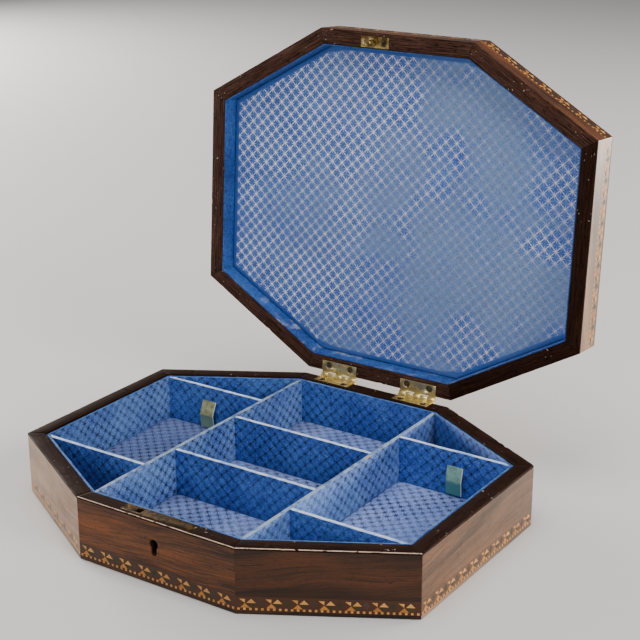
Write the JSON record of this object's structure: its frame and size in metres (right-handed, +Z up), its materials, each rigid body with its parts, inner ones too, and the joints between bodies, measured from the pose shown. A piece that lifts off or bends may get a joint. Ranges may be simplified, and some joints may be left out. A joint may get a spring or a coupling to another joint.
{
  "type": "inlaid wooden box",
  "caption": "Octagonal hinged wooden box with mosaic banding, lock, paper-lined lid and lift-out divided tray with silk pull tabs, shown open.",
  "frame": {"origin": "centre of the base's underside", "axes": "+X to the right along the front, +Y to the back where the hinges are, +Z up"},
  "size_m": [0.2666, 0.2562, 0.2556],
  "materials": {
    "rosewood": "french-polished rosewood veneer",
    "rim_facing": "dark polished facing",
    "carcass": "plain planed softwood",
    "mosaic": "polished wood mosaic",
    "blue_paper": "matt printed paper on thin board",
    "silk": "faded silk ribbon",
    "brass": "aged brass",
    "steel": "dull steel",
    "screw_steel": "darkened screw"
  },
  "bodies": {
    "base": {"base_bottom": "carcass", "base_foot_strip": "rosewood", "base_mosaic_band": "mosaic", "base_rim_facing": "rim_facing", "base_veneer": "rosewood", "base_wall_back": "carcass", "base_wall_back_left": "carcass", "base_wall_back_right": "carcass", "base_wall_front": "carcass", "base_wall_front_left": "carcass", "base_wall_front_right": "carcass", "base_wall_left": "carcass", "base_wall_right": "carcass", "hinge_left_base_leaf": "brass", "hinge_left_base_screw_left": "screw_steel", "hinge_left_base_screw_right": "screw_steel", "hinge_left_pin": "brass", "hinge_right_base_leaf": "brass", "hinge_right_base_screw_left": "screw_steel", "hinge_right_base_screw_right": "screw_steel", "hinge_right_pin": "brass", "lock_case": "steel", "lock_drill_pin": "steel", "lock_plate": "brass", "lock_screw_left": "brass", "lock_screw_right": "brass"},
    "lid": {"hinge_left_lid_leaf": "brass", "hinge_left_lid_screw_left": "screw_steel", "hinge_left_lid_screw_right": "screw_steel", "hinge_right_lid_leaf": "brass", "hinge_right_lid_screw_left": "screw_steel", "hinge_right_lid_screw_right": "screw_steel", "lid_frame": "carcass", "lid_inlay_border": "mosaic", "lid_inlay_centre": "mosaic", "lid_lining_panel": "blue_paper", "lid_mosaic_band": "mosaic", "lid_panel": "carcass", "lid_rim_facing": "rim_facing", "lid_side_lining": "blue_paper", "lid_side_veneer": "rosewood", "lid_top_veneer": "rosewood", "strike_plate": "brass", "strike_screw_left": "screw_steel", "strike_screw_right": "screw_steel"},
    "tray": {"tray_divider_centre_back": "blue_paper", "tray_divider_centre_front": "blue_paper", "tray_divider_left_back": "blue_paper", "tray_divider_left_front": "blue_paper", "tray_divider_long_left": "blue_paper", "tray_divider_long_right": "blue_paper", "tray_divider_right_back": "blue_paper", "tray_divider_right_front": "blue_paper", "tray_floor": "blue_paper", "tray_walls": "blue_paper"},
    "bolt": {"lock_bolt": "brass", "lock_spring": "steel"},
    "ribbon_left": {"ribbon_pull_left": "silk"},
    "ribbon_right": {"ribbon_pull_right": "silk"}
  },
  "joints": [
    {"name": "lid_hinge", "type": "hinge", "parent": "base", "child": "lid", "pos_m": [0, 0.1106, 0.0377], "axis": [-1, 0, 0], "range_deg": [-94, 0]},
    {"name": "tray_lift", "type": "slide", "parent": "base", "child": "tray", "axis": [0, 0, 1], "range_m": [0, 0.04]},
    {"name": "lock_bolt", "type": "slide", "parent": "base", "child": "bolt", "axis": [-1, 0, 0], "range_m": [0, 0.005]},
    {"name": "ribbon_left", "type": "hinge", "parent": "tray", "child": "ribbon_left", "pos_m": [-0.089, 0.054, 0.0276], "axis": [-1, 0, 0], "range_deg": [0, 100]},
    {"name": "ribbon_right", "type": "hinge", "parent": "tray", "child": "ribbon_right", "pos_m": [0.0878, 0.054, 0.0276], "axis": [-1, 0, 0], "range_deg": [0, 100]}
  ]
}
